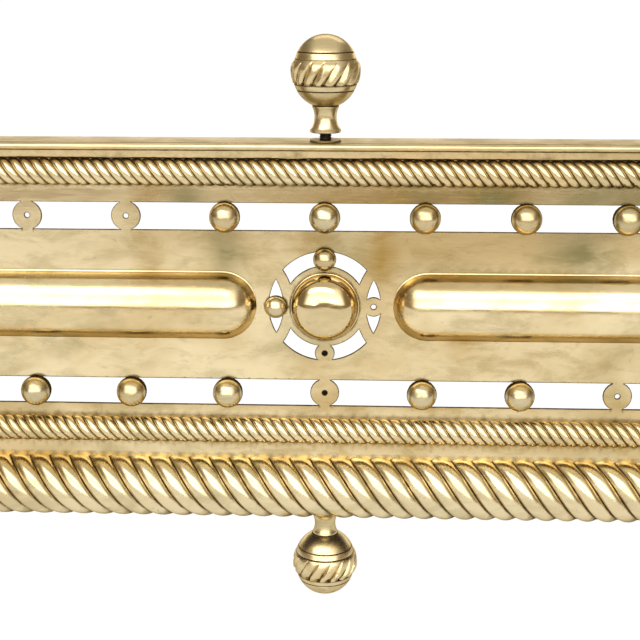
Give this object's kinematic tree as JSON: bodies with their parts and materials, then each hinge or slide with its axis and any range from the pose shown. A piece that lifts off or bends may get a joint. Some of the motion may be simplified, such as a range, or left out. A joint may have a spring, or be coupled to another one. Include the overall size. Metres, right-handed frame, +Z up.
{
  "type": "fire fender",
  "caption": "Low three-sided hearth fender of pierced and embossed brass sheet with rope-twist mouldings, turned ball finials and ball feet.",
  "frame": {"origin": "on the floor, under the middle of the whole fender's box", "axes": "+X along the front, to the right seen from the room; +Y from the front into the hearth; +Z up"},
  "size_m": [1.067, 0.305, 0.3086],
  "materials": {
    "sheet_brass": "polished sheet, lightly tarnished",
    "rope_brass": "polished crowns with dark tarnish in the grooves",
    "rail_brass": "polished, worn along the nose",
    "turned_brass": "turned and polished, tarnished in its lines",
    "polished_brass": "bright polished",
    "dull_brass": "dull and dirty",
    "iron": "dark wrought iron with light rust"
  },
  "bodies": {
    "root": {"front_panel": "sheet_brass", "left_panel": "sheet_brass", "right_panel": "sheet_brass", "front_base_rope": "rope_brass", "left_base_rope": "rope_brass", "right_base_rope": "rope_brass", "front_lower_rope": "rope_brass", "left_lower_rope": "rope_brass", "right_lower_rope": "rope_brass", "front_upper_rope": "rope_brass", "left_upper_rope": "rope_brass", "right_upper_rope": "rope_brass", "front_rail_nosing": "rail_brass", "left_rail_nosing": "rail_brass", "right_rail_nosing": "rail_brass", "front_rail_plate": "rail_brass", "left_rail_plate": "rail_brass", "right_rail_plate": "rail_brass", "front_rail_core": "iron", "left_rail_core": "iron", "right_rail_core": "iron", "front_base_bar": "iron", "left_base_bar": "iron", "right_base_bar": "iron", "front_upper_studs": "polished_brass", "front_lower_studs": "polished_brass", "left_studs": "polished_brass", "right_studs": "polished_brass", "rosette_boss": "polished_brass", "rosette_boss_nut": "dull_brass", "rosette_studs": "polished_brass", "front_centre_finial": "turned_brass", "front_left_finial": "turned_brass", "front_right_finial": "turned_brass", "back_left_finial": "turned_brass", "back_right_finial": "turned_brass", "front_centre_foot": "turned_brass", "front_left_foot": "turned_brass", "front_right_foot": "turned_brass", "back_left_foot": "turned_brass", "back_right_foot": "turned_brass", "front_centre_tie_rod": "iron", "front_left_tie_rod": "iron", "front_right_tie_rod": "iron", "back_left_tie_rod": "iron", "back_right_tie_rod": "iron", "finial_washers": "dull_brass", "rail_nuts": "iron", "base_nuts": "iron", "left_corner_angle": "sheet_brass", "right_corner_angle": "sheet_brass", "left_end_plate": "sheet_brass", "right_end_plate": "sheet_brass"}
  },
  "joints": []
}
